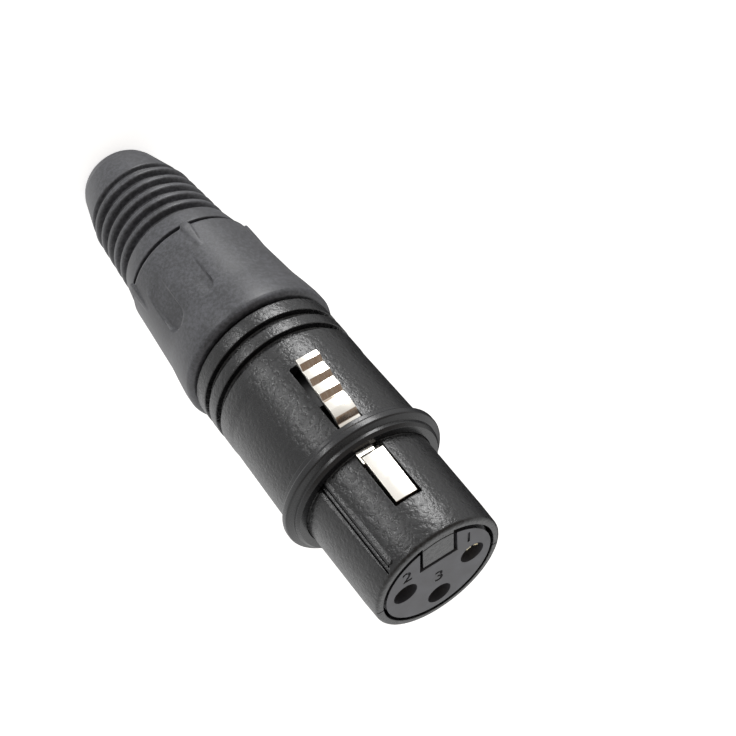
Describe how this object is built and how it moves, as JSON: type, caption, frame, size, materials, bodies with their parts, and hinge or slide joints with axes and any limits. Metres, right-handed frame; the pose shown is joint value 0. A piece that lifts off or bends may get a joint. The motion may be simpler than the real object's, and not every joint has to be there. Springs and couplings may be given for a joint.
{
  "type": "female xlr cable plug",
  "caption": "Cable-end audio connector with socket contacts, a sprung push latch, a screw-on rubber boot and a ribbed strain relief.",
  "frame": {"origin": "centre of the boot's flat end face, on the plug's axis", "axes": "+Z along the plug's axis from the cable entry to the nose, -Y towards the latch, -X towards contact 1"},
  "size_m": [0.02, 0.0219, 0.071],
  "materials": {
    "shell_paint": "semi-gloss black paint on die-cast zinc",
    "ring_rubber": "satin black",
    "insert_plastic": "dark grey glass-filled plastic",
    "boot_rubber": "matt black soft plastic",
    "latch_metal": "nickel-plated sheet steel",
    "contact_metal": "plated bronze",
    "spring_steel": "bright spring steel",
    "clamp_plastic": "natural plastic",
    "bushing_plastic": "black glass-filled plastic"
  },
  "bodies": {
    "housing": {"shell": "shell_paint", "seal_ring": "ring_rubber", "insert": "insert_plastic", "contact_1": "contact_metal", "contact_2": "contact_metal", "contact_3": "contact_metal", "ground_spring": "spring_steel", "latch_pin": "spring_steel", "latch_spring": "spring_steel"},
    "latch": {"latch_lever": "latch_metal"},
    "chuck": {"chuck": "clamp_plastic"},
    "boot": {"bushing": "bushing_plastic", "boot_grip": "boot_rubber", "boot_sleeve": "boot_rubber"}
  },
  "joints": [
    {"name": "latch_hinge", "type": "hinge", "parent": "housing", "child": "latch", "pos_m": [0, -0.005, 0.0673], "axis": [1, 0, 0], "range_deg": [0, 8], "stiffness_Nm_per_rad": 0.05, "deforming": ["latch_spring"]},
    {"name": "chuck_slide", "type": "slide", "parent": "housing", "child": "chuck", "axis": [0, 0, -1], "range_m": [0, 0.00562]},
    {"name": "boot_turn", "type": "hinge", "parent": "chuck", "child": "boot", "pos_m": [0, 0, 0.02], "axis": [0, 0, -1], "range_deg": [0, 1620]}
  ],
  "couplings": [
    {"joint": "boot_turn", "follows": "chuck_slide", "rad_per_m": 5026.5}
  ]
}
